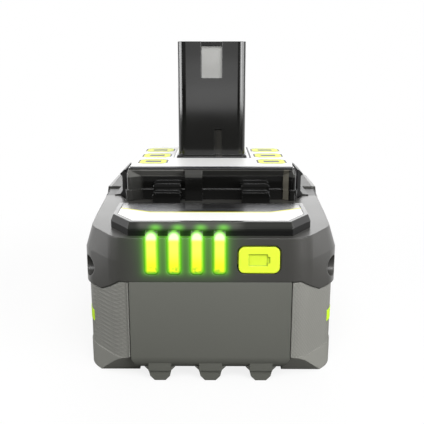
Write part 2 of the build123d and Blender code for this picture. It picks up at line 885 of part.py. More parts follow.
def make_stem_housing():
    deck = deck_height
    top = stem_top
    back = stem_back
    housing = deck_block()
    housing += rounded_slab(-stem_half, stem_half, stem_front, back, deck - deck_wall, top, stem_corner)
    skirt = rounded_slab(
        -stem_half - stem_foot,
        stem_half + stem_foot,
        stem_front - stem_foot,
        back + stem_foot,
        deck - deck_wall,
        deck + stem_foot_height,
        stem_corner,
    )
    skirt_top = skirt.faces().sort_by(Axis.Z)[-1].edges()
    housing += chamfer(skirt_top, stem_foot - press_gap)
    housing -= slab(-room_half, room_half, room_front, room_back, cover_top - overrun, deck - deck_wall)
    housing -= rounded_slab(
        -stem_half + stem_wall,
        stem_half - stem_wall,
        stem_front + stem_wall,
        back - stem_wall,
        deck - deck_wall - overrun,
        top + overrun,
        stem_corner - stem_wall,
    )
    housing -= stem_windows()
    groove_top = deck + groove_height
    ramp = [
        (stem_front - overrun, deck + stem_foot_height),
        (stem_front - overrun, groove_top + groove_depth),
        (stem_front, groove_top + groove_depth),
        (stem_front + groove_depth, groove_top),
        (stem_front + groove_depth, deck + stem_foot_height),
    ]
    return housing - side_prism(ramp, groove_left, groove_left + groove_width)


def make_stem_cap():
    """Bar that closes the top of the stem, with a tongue in each contact window."""
    inset = stem_wall + press_gap
    side = stem_half - inset
    near = stem_front + inset
    far = stem_back - inset
    low = stem_top - cap_thickness
    cap = rounded_slab(-side, side, near, far, low, stem_top, stem_corner - stem_wall)
    reach = window_half - press_gap
    return cap + slab(-reach, reach, stem_front + press_gap, stem_back - press_gap, low, stem_top - press_gap)


def make_contacts():
    """Front, rear and signal contacts with the carrier that holds them inside the stem."""
    top = stem_top - cap_thickness - press_gap
    base = cover_top + board_thickness
    window_low = stem_top - window_height
    front = stem_front + stem_wall + carrier_gap
    back = stem_back - stem_wall - carrier_gap
    side = stem_half - stem_wall - carrier_gap
    tail_bed = tail_half + press_gap
    plate_face_depth = stem_front + contact_recess
    plate_back = plate_face_depth + contact_thickness
    tail_front = front + 2 * press_gap
    tail_back = tail_front + tail_thickness
    tab_low = window_low + window_height / 3
    reach = window_half - 2 * press_gap
    plate_low = window_low + press_gap
    contact = slab(-reach, reach, plate_face_depth, plate_back, plate_low, top - press_gap)
    contact += slab(-tail_half, tail_half, plate_back, tail_front, plate_low + 2 * press_gap, tab_low)
    contact += slab(-tail_half, tail_half, tail_front, tail_back, base + press_gap, tab_low)
    carrier = rounded_slab(-side, side, front, front + carrier_board, base, top, stem_corner - stem_wall)
    nose_back = front + press_gap
    carrier += slab(-reach, reach, plate_back + press_gap, nose_back, plate_low, top)
    bed_back = tail_back + press_gap
    carrier -= slab(-tail_bed, tail_bed, plate_face_depth, bed_back, base - overrun, tab_low + press_gap)
    middle = stem_front + stem_depth / 2
    half_stem = Pos(0, at(middle), 0)
    turned = half_stem * Rot(0, 0, 180) * half_stem.inverse()
    rear_contact = turned * contact
    carrier += turned * carrier
    web = carrier_web_half
    carrier += slab(-web, web, front + carrier_board, back - carrier_board, base, top)
    near = stem_front + signal_back + press_gap
    far = near + signal_width - 2 * press_gap
    high = stem_top - signal_drop - press_gap
    low = high - signal_height + 2 * press_gap
    arm_reach = side + 2 * press_gap
    carrier += both_sides(slab(web - press_gap, arm_reach, near, far, low, high))
    blade_start = arm_reach + press_gap
    blade = slab(blade_start, blade_start + contact_thickness, near, far, low, high)
    return carrier, contact, rear_contact, both_sides(blade)


def make_deck_label():
    """Thin sheet on the deck, open towards the back around the stem."""
    top = deck_height + label_thickness
    reach = block_half - block_bevel - deck_label_inset
    near = block_front + block_bevel + deck_label_inset
    far = block_rear - deck_label_back
    sheet = rounded_slab(-reach, reach, near, far, deck_height, top, block_corner)
    slot = stem_half + deck_label_side
    slot_front = stem_front - stem_foot - press_gap
    return sheet - slab(-slot, slot, slot_front, block_rear, deck_height - overrun, top + overrun)


def cell_places():
    """(depth, z) of the axis of each cell, lower layer first."""
    depths = [holder_start + (column + 1 / 2) * cell_pitch for column in range(cell_columns)]
    heights = [first_cell_height + layer * cell_pitch for layer in range(cell_layers)]
    return [(depth, z) for z in heights for depth in depths]


def make_cell(depth, z):
    can = across(-cell_length / 2, cell_length / 2, depth, z, cell_diameter / 2)
    return chamfer(can.edges().filter_by(GeomType.CIRCLE), cell_edge)


def make_holder():
    """Right end frame, bored for every cell, with a groove for each lead."""
    outer = cell_length / 2 - holder_web
    inner = outer - holder_width
    top = ceiling - press_gap
    frame = slab(inner, outer, holder_start + press_gap, holder_end - press_gap, cavity_floor, top)
    for depth, z in cell_places():
        frame -= across(inner - overrun, outer + overrun, depth, z, hole_radius)
    for depth in lead_depths():
        room = lead_radius + press_gap
        low = lead_height() - room
        frame -= slab(inner - overrun, outer + overrun, depth - room, depth + room, low, top + overrun)
    return frame


def lead_depths():
    """Depths of the valleys between upper cells that the two leads lie in."""
    return [holder_start + column * cell_pitch for column in (3, 4)]


def lead_height():
    """Height of a lead in its valley."""
    return cell_top - lead_drop


def make_lead(depth, sign):
    """Lead from the end of the cells inwards and up to the main board."""
    start = (sign * (cell_length / 2 - press_gap), at(depth), lead_height())
    corner = (sign * (opening_half - lead_inset), at(depth), lead_height())
    end = (sign * (opening_half - lead_inset), at(depth), cover_top - press_gap)
    route = FilletPolyline(start, corner, end, radius=lead_bend)
    return sweep(Plane(route @ 0, z_dir=route % 0) * Circle(lead_radius), path=route)


def strip(side, first, last):
    """Nickel strip on the ends of a run of cell columns; side is -1 on the left and 1 on the right."""
    inner = cell_length / 2
    outer = inner + strip_thickness
    margin = cell_pitch / 4
    start = holder_start + first * cell_pitch + margin
    end = holder_start + (last + 1) * cell_pitch - margin
    x0, x1 = sorted((side * inner, side * outer))
    return slab(x0, x1, start, end, strip_low, strip_high)


def make_strips():
    """Six strips that join five pairs of cells in series; the two end strips run to a lead."""
    left = [strip(-1, 0, 0), strip(-1, 1, 2), strip(-1, 3, 4)]
    right = [strip(1, 0, 1), strip(1, 2, 3), strip(1, 4, 4)]
    inner = cell_length / 2
    outer = inner + strip_thickness
    margin = cell_pitch / 4
    runner_low = runner_top - runner_height
    near, far = lead_depths()
    left[0] += slab(-outer, -inner, holder_start + margin, near + lead_radius, runner_low, runner_top)
    left[0] += slab(-outer, -inner, holder_start + margin, holder_start + 3 * margin, strip_high, runner_top)
    right[2] += slab(inner, outer, far - lead_radius, holder_end - margin, runner_low, runner_top)
    right[2] += slab(inner, outer, holder_end - 3 * margin, holder_end - margin, strip_high, runner_top)
    return left + right


def make_insulator():
    inner = cell_length / 2 + strip_thickness + press_gap
    outer = inner + sheet_thickness
    start = holder_start + sheet_margin
    end = holder_end - sheet_margin
    return slab(inner, outer, start, end, cavity_floor + press_gap, ceiling - press_gap)


def make_main_board():
    """Main board on the roof of the cover with its power transistors, chip and fuse."""
    top = cover_top + board_thickness
    board = slab(-main_board_half, main_board_half, main_board_front, main_board_rear, cover_top, top)
    row = main_board_front + transistor_depth
    transistors = Part() + [
        slab(x, x + transistor_width, row, row + transistor_depth, top, top + transistor_height)
        for x in (-2 * transistor_width, -transistor_width / 2, transistor_width)
    ]
    chip_left = board_margin - main_board_half
    chip = slab(chip_left, chip_left + chip_size, stem_front, stem_front + chip_size, top, top + chip_height)
    right = main_board_half - board_margin
    fuse = slab(right - fuse_width, right, stem_front, stem_front + fuse_length, top, top + fuse_height)
    return board, transistors, chip, fuse


def make_ribbon():
    """Flat cable from the gauge board over the cells and up to the main board."""
    low = cell_top + press_gap
    start = gauge_board_front() + board_thickness
    end = main_board_front + case_wall + 2 * press_gap
    flat = slab(-ribbon_half, ribbon_half, start, end + ribbon_thickness, low, low + ribbon_thickness)
    return flat + slab(-ribbon_half, ribbon_half, end, end + ribbon_thickness, low, cover_top)


def make_thermistor():
    """Bead that lies in the valley between two upper cells."""
    depth = holder_start + 2 * cell_pitch
    reach = cell_diameter / 2 + bead_radius + press_gap
    drop = math.sqrt(reach * reach - cell_pitch * cell_pitch / 4)
    z = first_cell_height + (cell_layers - 1) * cell_pitch + drop
    return across(-bead_length / 2, bead_length / 2, depth, z, bead_radius)


def make_foam_pads():
    low = cell_top
    first = holder_start + cell_pitch / 2
    last = main_board_front
    outer = cell_length / 2 - holder_web - holder_width - foam_inset
    pad = slab(outer - foam_width, outer, first, last, low, ceiling - press_gap)
    return both_sides(pad)


def make_screw(x, depth):
    """Case screw driven down from above, with a round driver recess."""
    shoulder = screw_shoulder
    top = shoulder + screw_head
    screw = upright(x, depth, shoulder, top, screw_head_radius)
    screw += upright(x, depth, shoulder - screw_length + press_gap, shoulder, screw_radius)
    return screw - upright(x, depth, top - driver_depth, top + overrun, driver_radius)


def main():
    os.makedirs("parts", exist_ok=True)
    parts = {}
    parts["lower_case"] = make_lower_case()
    parts["left_grip"], parts["right_grip"] = make_grips()
    inlay = inlay_band(0)
    parts["right_inlay"] = inlay
    parts["left_inlay"] = mirror(inlay, about=Plane.YZ)
    parts["upper_cover"] = make_cover()
    parts["stem_housing"] = make_stem_housing()
    parts["stem_cap"] = make_stem_cap()
    carrier, front_contact, rear_contact, signals = make_contacts()
    parts["contact_carrier"] = carrier
    parts["front_contact"] = front_contact
    parts["rear_contact"] = rear_contact
    parts["signal_contacts"] = signals
    parts["name_plate"], parts["name_label"] = make_name_plate()
    parts["deck_label"] = make_deck_label()
    for number, x in enumerate(light_centres, 1):
        parts[f"light_bar_{number}"] = light_bar(x, 0)
    parts["gauge_button"] = make_button()
    board, lamps, switch, dome = make_gauge()
    parts["gauge_board"] = board
    parts["gauge_lamps"] = lamps
    parts["gauge_switch"] = switch
    parts["switch_dome"] = dome
    latch = make_latch()
    spring = make_latch_spring()
    parts["right_latch"] = latch
    parts["left_latch"] = mirror(latch, about=Plane.YZ)
    parts["right_latch_spring"] = spring
    parts["left_latch_spring"] = mirror(spring, about=Plane.YZ)
    for number, (depth, z) in enumerate(cell_places(), 1):
        parts[f"cell_{number:02d}"] = make_cell(depth, z)
    holder = make_holder()
    parts["right_cell_holder"] = holder
    parts["left_cell_holder"] = mirror(holder, about=Plane.YZ)
    for number, piece in enumerate(make_strips(), 1):
        parts[f"bus_strip_{number}"] = piece
    sheet = make_insulator()
    parts["right_insulator"] = sheet
    parts["left_insulator"] = mirror(sheet, about=Plane.YZ)
    main_board, transistors, chip, fuse = make_main_board()
    parts["main_board"] = main_board
    parts["power_transistors"] = transistors
    parts["control_chip"] = chip
    parts["main_fuse"] = fuse
    near, far = lead_depths()
    parts["negative_lead"] = make_lead(near, -1)
    parts["positive_lead"] = make_lead(far, 1)
    parts["gauge_ribbon"] = make_ribbon()
    parts["thermistor"] = make_thermistor()
    parts["foam_pads"] = make_foam_pads()
    parts["case_screws"] = Part() + [make_screw(x, depth) for x, depth in boss_places()]
    for name, solid in parts.items():
        export_step(solid, f"parts/{name}.step")


main()
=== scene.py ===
import math

import bpy
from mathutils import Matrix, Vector


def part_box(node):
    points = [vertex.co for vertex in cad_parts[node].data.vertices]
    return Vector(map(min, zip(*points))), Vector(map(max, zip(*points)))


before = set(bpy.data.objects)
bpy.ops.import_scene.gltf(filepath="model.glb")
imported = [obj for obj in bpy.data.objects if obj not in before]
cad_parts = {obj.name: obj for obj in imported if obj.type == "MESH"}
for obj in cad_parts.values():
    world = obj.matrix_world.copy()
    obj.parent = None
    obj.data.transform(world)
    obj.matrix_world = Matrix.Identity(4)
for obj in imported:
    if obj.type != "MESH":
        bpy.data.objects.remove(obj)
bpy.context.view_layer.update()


# The tub: one grey moulding of impact-proof nylon with a flat front panel and three skid ribs,
# spark-eroded to a fine grain. The cover sits on it and the grips are moulded round its corners.

mm = 0.001
fine_grain = 2600.0


class Link:
    """One output of a node, with arithmetic that adds Math nodes."""

    def __init__(self, finish, socket):
        self.finish = finish
        self.socket = socket

    def math(self, operation, *others):
        return self.finish.node("Math", {"operation": operation}, dict(enumerate((self, *others))))

    def __add__(self, other):
        return self.math("ADD", other)

    def __radd__(self, other):
        return self.math("ADD", other)

    def __sub__(self, other):
        return self.math("SUBTRACT", other)

    def __rsub__(self, other):
        return self.finish.node("Math", {"operation": "SUBTRACT"}, {0: other, 1: self})

    def __mul__(self, other):
        return self.math("MULTIPLY", other)

    def __rmul__(self, other):
        return self.math("MULTIPLY", other)

    def __truediv__(self, other):
        return self.math("DIVIDE", other)

    def __gt__(self, other):
        return self.math("GREATER_THAN", other)

    def __lt__(self, other):
        return self.math("LESS_THAN", other)

    def __abs__(self):
        return self.math("ABSOLUTE")


class Finish:
    """A material, or the world, whose nodes are added one call at a time."""

    def __init__(self, name, holders=bpy.data.materials):
        self.holder = holders.new(name)
        self.holder.use_nodes = True
        self.tree = self.holder.node_tree
        self.tree.nodes.clear()

    def node(self, kind, settings=None, inputs=None, out=0):
        """Adds a node with its settings and inputs, and gives one of its outputs if it has any."""
        added = self.tree.nodes.new("ShaderNode" + kind)
        for key, value in (settings or {}).items():
            setattr(added, key, value)
        for key, value in (inputs or {}).items():
            if isinstance(value, Link):
                self.tree.links.new(value.socket, added.inputs[key])
            elif added.inputs[key].type == "RGBA":
                added.inputs[key].default_value = (*value, 1.0)
            else:
                added.inputs[key].default_value = value
        return Link(self, added.outputs[out]) if added.outputs else None

    def spot(self):
        """The point shaded, in metres in the object's frame."""
        return self.node("TexCoord", out="Object")

    def axes(self, point):
        """X, Y and Z of a point or a direction."""
        parts = self.node("SeparateXYZ", {}, {0: point}).socket.node.outputs
        return [Link(self, part) for part in parts]

    def mix(self, factor, first, second):
        """Colour that goes from the first to the second as the factor goes from 0 to 1."""
        return self.node("Mix", {"data_type": "RGBA"}, {0: factor, 6: first, 7: second}, out=2)

    def ramp(self, value, low, high, shape="SMOOTHSTEP"):
        """0 below low, 1 above high and smooth or straight between them."""
        limits = {"Value": value, "From Min": low, "From Max": high}
        return self.node("MapRange", {"interpolation_type": shape}, limits)

    def noise(self, spot, scale, detail=2.0):
        return self.node("TexNoise", {}, {"Vector": spot, "Scale": scale, "Detail": detail})

    def relief(self, height, depth, edge):
        """Normal with edges softened by a radius and a bump of the given depth on it."""
        soft = self.node("Bevel", {"samples": 4}, {"Radius": edge})
        bump = {"Height": height, "Distance": depth, "Strength": 1.0, "Normal": soft}
        return self.node("Bump", {}, bump)

    def surface(self, **inputs):
        """Principled surface with these inputs, joined to the output."""
        named = {key.replace("_", " "): value for key, value in inputs.items()}
        self.join(self.node("BsdfPrincipled", {}, named))
        return self.holder

    def join(self, shader, output="OutputMaterial"):
        self.node(output, {}, {0: shader})


def wear(material, *names):
    """Gives the material to CAD nodes."""
    for name in names:
        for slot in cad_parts[name].material_slots:
            slot.material = material


def tub_nylon():
    """Grey nylon, a little darker toward the foot of the tub: painted shade."""
    tub = Finish("tub nylon")
    spot = tub.spot()
    z = tub.axes(spot)[2]
    palest_height = 38.0 * mm
    shaded_foot_grey = (0.088, 0.090, 0.078)
    lit_top_grey = (0.136, 0.139, 0.122)
    cloud = tub.noise(spot, scale=45.0, detail=3.0)
    # Painted shade: the colour darkens toward the foot of the tub.
    shade_climb = tub.ramp(z, 0.0, palest_height, "LINEAR")
    return tub.surface(
        Base_Color=tub.mix(shade_climb * 0.85 + cloud * 0.15, shaded_foot_grey, lit_top_grey),
        Roughness=cloud * 0.10 + 0.41,
        Normal=tub.relief(tub.noise(spot, scale=fine_grain), depth=0.01 * mm, edge=0.3 * mm),
    )


wear(tub_nylon(), "lower_case")


# The grips: light grey soft overmould wrapped round the corners of the tub, with a fine lattice
# pressed into their upper field. A lime nylon strip is let into the side of each.

def lattice_grip():
    """Small diamonds between crossed grooves, above a plain foot; the grooves are painted darker as shade.
    """
    grip = Finish("grip elastomer")
    spot = grip.spot()
    x, y, z = grip.axes(spot)
    pitch = 1.35 * mm
    plain_foot = 7.8 * mm
    fade = 0.4 * mm
    dark_grey = (0.200, 0.199, 0.180)
    light_grey = (0.240, 0.239, 0.217)
    groove_shade_grey = (0.10, 0.10, 0.095)
    rising = ((x + y + z) / pitch).math("PINGPONG", 0.5)
    falling = ((x + y - z) / pitch).math("PINGPONG", 0.5)
    knurl = rising.math("MINIMUM", falling)
    field = grip.ramp(z, plain_foot, plain_foot + fade)
    # Painted shade: the grooves of the lattice are darkened in the colour.
    grooves = field * (1.0 - knurl * 2.0)
    cloud = grip.noise(spot, scale=60.0, detail=3.0)
    return grip.surface(
        Base_Color=grip.mix(grooves * 0.22, grip.mix(cloud, dark_grey, light_grey), groove_shade_grey),
        Roughness=cloud * 0.12 + 0.44,
        Normal=grip.relief(knurl * field * 2.0, depth=0.05 * mm, edge=0.4 * mm),
    )


def grained_plastic(name, colour, roughness, grain=fine_grain, depth=0.01 * mm):
    """Moulded plastic: fine grain, slightly uneven colour and gloss, softened edges."""
    plastic = Finish(name)
    spot = plastic.spot()
    blotch = 0.06
    light = tuple(min(1.0, channel * (1 + blotch)) for channel in colour)
    dark = tuple(channel * (1 - blotch) for channel in colour)
    cloud = plastic.noise(spot, scale=45.0, detail=3.0)
    return plastic.surface(
        Base_Color=plastic.mix(cloud, dark, light),
        Roughness=cloud * 0.10 + (roughness - 0.05),
        Normal=plastic.relief(plastic.noise(spot, scale=grain), depth=depth, edge=0.3 * mm),
    )


wear(lattice_grip(), "left_grip", "right_grip")
wear(grained_plastic("lime inlay", (0.62, 0.95, 0.02), roughness=0.38), "left_inlay", "right_inlay")


# The cells: ten drawn steel cans in blue shrink sleeves, held at both ends by moulded frames with
# bores. Nickel strips are welded across their ends, with card over them and foam on the top layer.

def sleeved_cell():
    """Blue sleeve round the can, with the bare steel at both ends."""
    cell = Finish("cell sleeve")
    spot = cell.spot()
    x = cell.axes(spot)[0]
    sleeve_end = 31.3 * mm
    fade = 0.4 * mm
    dark_blue = (0.02, 0.13, 0.22)
    light_blue = (0.03, 0.17, 0.27)
    steel = (0.55, 0.55, 0.53)
    ends = cell.ramp(abs(x), sleeve_end, sleeve_end + fade)
    wrap = cell.noise(spot, scale=160.0, detail=3.0)
    return cell.surface(
        Base_Color=cell.mix(ends, cell.mix(wrap, dark_blue, light_blue), steel),
        Metallic=ends,
        Roughness=wrap * 0.15 + 0.22,
        Normal=cell.relief(wrap, depth=0.04 * mm, edge=0.3 * mm),
    )


def rolled_metal(name, colour, roughness):
    """Metal with fine rolling marks and small spots of dullness."""
    metal = Finish(name)
    spot = metal.spot()
    dull = tuple(channel * 0.82 for channel in colour)
    drawn_out = metal.node("Mapping", {}, {"Vector": spot, "Scale": (0.08, 0.08, 1.0)})
    marks = metal.noise(drawn_out, scale=900.0, detail=3.0)
    return metal.surface(
        Base_Color=metal.mix(metal.noise(spot, scale=120.0), dull, colour),
        Metallic=1.0,
        Roughness=marks * 0.16 + (roughness - 0.08),
        Normal=metal.relief(marks, depth=0.006 * mm, edge=0.1 * mm),
    )


wear(sleeved_cell(), *[f"cell_{n:02d}" for n in range(1, 11)])
holder_plastic = grained_plastic("holder plastic", (0.55, 0.54, 0.48), roughness=0.5)
wear(holder_plastic, "left_cell_holder", "right_cell_holder")
nickel = rolled_metal("nickel strip", (0.66, 0.64, 0.58), roughness=0.34)
wear(nickel, *[f"bus_strip_{n}" for n in range(1, 7)])
card = grained_plastic("insulating card", (0.36, 0.42, 0.30), roughness=0.8, grain=1500.0, depth=0.03 * mm)
wear(card, "left_insulator", "right_insulator")
wear(grained_plastic("foam", (0.03, 0.03, 0.033), roughness=0.95, grain=1800.0, depth=0.2 * mm), "foam_pads")


# The boards: glass cloth laminate under green solder mask, with moulded transistors and chip, a
# ceramic fuse and the sensor soldered on. The leads and the ribbon join cells, board and gauge.

def masked_board():
    """Green mask that lies a little higher over the copper tracks."""
    board = Finish("circuit board")
    spot = board.spot()
    dark_green = (0.008, 0.085, 0.032)
    light_green = (0.012, 0.11, 0.045)
    track_green = (0.03, 0.2, 0.08)
    pattern = {"Vector": spot, "Scale": 160.0, "Mortar Size": 0.012}
    tracks = board.node("TexBrick", {"offset": 0.5}, pattern, out=1)
    cloud = board.noise(spot, scale=400.0)
    return board.surface(
        Base_Color=board.mix(tracks * 0.6, board.mix(cloud, dark_green, light_green), track_green),
        Roughness=cloud * 0.1 + 0.28,
        Normal=board.relief(tracks, depth=0.03 * mm, edge=0.1 * mm),
        Coat_Weight=0.3,
    )


wear(masked_board(), "main_board", "gauge_board")
moulded = grained_plastic("component body", (0.014, 0.014, 0.015), roughness=0.45, grain=3500.0)
wear(moulded, "power_transistors", "control_chip", "gauge_switch", "thermistor")
ceramic = grained_plastic("fuse ceramic", (0.72, 0.70, 0.60), roughness=0.25, grain=900.0, depth=0.004 * mm)
wear(ceramic, "main_fuse")
wear(grained_plastic("black lead", (0.012, 0.012, 0.012), roughness=0.4, grain=1200.0), "negative_lead")
wear(grained_plastic("red lead", (0.42, 0.012, 0.01), roughness=0.4, grain=1200.0), "positive_lead")
wear(grained_plastic("ribbon film", (0.62, 0.60, 0.52), roughness=0.3, grain=1500.0), "gauge_ribbon")
wear(grained_plastic("lamp resin", (0.80, 0.82, 0.45), roughness=0.2, grain=900.0), "gauge_lamps")
spring_steel = rolled_metal("spring steel", (0.60, 0.60, 0.60), roughness=0.28)
wear(spring_steel, "switch_dome")


# The cover: dark grey satin nylon, moulded as a collar with thick corner bumpers, sloping
# shoulders and a round socket in each side. A green glow of the lit gauge is painted on its front round the
# lights.

light_bars = [f"light_bar_{n}" for n in (1, 2, 3, 4)]
light_places = [sum(corner.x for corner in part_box(bar)) / 2 for bar in light_bars]
light_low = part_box("light_bar_1")[0].z
light_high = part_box("light_bar_1")[1].z
unlit = (0.0, 0.0, 0.0)


def halo(finish, x, y, z):
    """Green light, painted in the emission, that spills from the four bars over what is near them on the
    front.
    """
    bright_half = 1.6 * mm
    bright_end = 0.8 * mm
    near_fall = 1500.0
    far_fall = 420.0
    cover_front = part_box("upper_cover")[0].y
    middle = (light_low + light_high) / 2
    half = (light_high - light_low) / 2 - bright_end
    above = (abs(z - middle) - half).math("MAXIMUM", 0.0)
    far_share = finish.ramp(z, light_low, light_high) * 0.09 + 0.04
    total = 0.0
    for place in light_places:
        aside = (abs(x - place) - bright_half).math("MAXIMUM", 0.0)
        away = (aside * aside + above * above).math("SQRT")
        near = (away * -near_fall).math("EXPONENT")
        total = near + (away * -far_fall).math("EXPONENT") * far_share + total
    return total * (1.0 - finish.ramp(y, cover_front + 1.25 * mm, cover_front + 3.75 * mm))


def satin_cover():
    """Satin dark grey with a painted green glow of the lights on its front."""
    cover = Finish("cover plastic")
    spot = cover.spot()
    dark_grey = (0.047, 0.046, 0.043)
    light_grey = (0.055, 0.054, 0.050)
    glow_green = (0.22, 1.0, 0.01)
    cloud = cover.noise(spot, scale=42.0, detail=3.0)
    # Painted glow of the lit bars, given as emission on the cover.
    painted_glow = (halo(cover, *cover.axes(spot)) * 0.78).math("MINIMUM", 1.0)
    return cover.surface(
        Base_Color=cover.mix(cloud, dark_grey, light_grey),
        Roughness=cloud * 0.08 + 0.27,
        Normal=cover.relief(cover.noise(spot, scale=fine_grain), depth=0.01 * mm, edge=0.5 * mm),
        Emission_Color=cover.mix(painted_glow, unlit, glow_green),
        Emission_Strength=1.0,
    )


wear(satin_cover(), "upper_cover")


# The gauge: four clear plastic bars that wrap over the front edge of the cover, lit from behind,
# and a lime push button with a sunk battery sign. Both stand a little proud of the cover.

def lit_bar(name, place):
    """Clear bar lit through: yellow core, green rim and a white glint where it turns the edge."""
    bar = Finish(name.replace("_", " "))
    spot = bar.spot()
    x, _, z = bar.axes(spot)
    turn = light_high - 1.9 * mm
    low_yellow = (1.0, 1.0, 0.018)
    high_yellow = (1.0, 1.0, 0.12)
    glint = (1.0, 1.0, 0.66)
    rim_green = (0.16, 0.74, 0.01)
    corner_green = (0.02, 0.07, 0.01)
    foot_green = (0.16, 0.58, 0.02)
    flicker = bar.noise(spot, scale=1100.0)
    aside = abs(x - place)
    above = (z - turn).math("MAXIMUM", 0.0)
    out = (aside * aside + above * above).math("SQRT")
    rim = bar.ramp(out, 1.0 * mm, 1.8 * mm)
    corner = bar.ramp(out, 1.7 * mm, 2.2 * mm) * bar.ramp(above, 0.3 * mm, 0.8 * mm)
    foot = 1.0 - bar.ramp(z + flicker * (0.8 * mm), light_low + 0.4 * mm, light_low + 1.5 * mm)
    low_down = 1.0 - bar.ramp(z, light_low + 1.2 * mm, light_low + 2.6 * mm)
    specks = bar.ramp(flicker, 0.50, 0.62) * low_down
    core = bar.mix(bar.ramp(z, light_low + 1.9 * mm, light_low + 7.9 * mm), low_yellow, high_yellow)
    hot = bar.mix(bar.ramp(z, turn - 0.8 * mm, turn), core, glint)
    rimmed = bar.mix(rim * 0.9, hot, rim_green)
    cornered = bar.mix(corner, rimmed, corner_green)
    return bar.surface(
        Base_Color=(0.02, 0.05, 0.005),
        Roughness=flicker * 0.1 + 0.34,
        Emission_Color=bar.mix((foot + specks * 0.6).math("MINIMUM", 1.0), cornered, foot_green),
        Emission_Strength=1.0,
        Normal=bar.relief(flicker, depth=0.02 * mm, edge=0.6 * mm),
    )


def lime_button():
    """Lime face with the outline and the floor of the sunk battery sign painted darker as shade."""
    button = Finish("lime button")
    spot = button.spot()
    x, y, z = button.axes(spot)
    low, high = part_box("gauge_button")
    middle = (low + high) / 2
    can_width = 5.5 * mm
    can_height = 3.5 * mm
    nub_width = 0.7 * mm
    nub_height = 1.9 * mm
    line_half = 0.08 * mm
    line_fade = 0.12 * mm
    dark_lime = (0.74, 0.93, 0.040)
    light_lime = (0.80, 0.97, 0.055)
    shade_lime = (0.30, 0.44, 0.02)
    aside = x - middle.x
    rise = abs(z - middle.z)
    can = (abs(aside + nub_width / 2) - can_width / 2).math("MAXIMUM", rise - can_height / 2)
    nub = (abs(aside - can_width / 2) - nub_width / 2).math("MAXIMUM", rise - nub_height / 2)
    rim = abs(can.math("MINIMUM", nub) + line_half)
    line = 1.0 - button.ramp(rim, line_half, line_half + line_fade)
    sunk = button.ramp(y, low.y + 0.12 * mm, low.y + 0.33 * mm)
    # Painted shade in the outline and on the floor of the sunk sign.
    sign_shade = (sunk * 0.18 + line * 0.5).math("MINIMUM", 1.0)
    cloud = button.noise(spot, scale=300.0)
    return button.surface(
        Base_Color=button.mix(sign_shade, button.mix(cloud, dark_lime, light_lime), shade_lime),
        Roughness=cloud * 0.12 + 0.34,
        Normal=button.relief(button.noise(spot, scale=fine_grain), depth=0.008 * mm, edge=0.5 * mm),
    )


for bar, place in zip(light_bars, light_places):
    wear(lit_bar(bar, place), bar)
wear(lime_button(), "gauge_button")


# The name plate: raised gloss-black moulding with a bevelled rim, set on the cover, and a printed
# film glued in its bed: dark above, white below, and a thin yellow line between them.

def gloss_plate():
    """Gloss black with a painted reflection and glow of the lit bars, and a paler brow above them that is a
    painted sheen.
    """
    plate = Finish("plate gloss black")
    spot = plate.spot()
    x, y, z = plate.axes(spot)
    low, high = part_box("name_plate")
    first, last = light_places[0], light_places[-1]
    mirror_aside = 1.1 * mm
    mirror_above = 0.7 * mm
    mirror_half = 1.6 * mm
    mirror_rise = 0.8 * mm
    dark_black = (0.004, 0.004, 0.004)
    light_black = (0.006, 0.006, 0.006)
    brow_sheen_grey = (0.082, 0.084, 0.074)
    mirror_green = (0.18, 0.85, 0.02)
    # Painted reflection of the lit bars, given as emission on the plate.
    shine = 0.0
    for place in light_places:
        aside = (x - (place + mirror_aside)) / mirror_half
        above = (z - (light_high + mirror_above)) / mirror_rise
        shine = ((aside * aside + above * above) * -1.0).math("EXPONENT") + shine
    front = 1.0 - plate.ramp(y, low.y + 0.2 * mm, low.y + 1.6 * mm)
    past_first = plate.ramp(x, first - 5.2 * mm, first - 2.8 * mm)
    past_last = plate.ramp(x, last + 4.25 * mm, last + 8.25 * mm)
    # Painted sheen on the brow, palest between the outer bars.
    brow = plate.ramp(z, high.z - 2.8 * mm, high.z - 1.0 * mm, "LINEAR")
    pale = front * brow * (past_first * (1.0 - past_last) * 0.72 + 0.28)
    lit = ((shine + halo(plate, x, y, z) * 0.4) * front * 0.6).math("MINIMUM", 1.0)
    cloud = plate.noise(spot, scale=50.0, detail=3.0)
    return plate.surface(
        Base_Color=plate.mix(pale, plate.mix(cloud, dark_black, light_black), brow_sheen_grey),
        Roughness=cloud * 0.06 + 0.09,
        Normal=plate.relief(plate.noise(spot, scale=1800.0), depth=0.002 * mm, edge=0.4 * mm),
        Emission_Color=plate.mix(lit, unlit, mirror_green),
        Emission_Strength=1.0,
    )


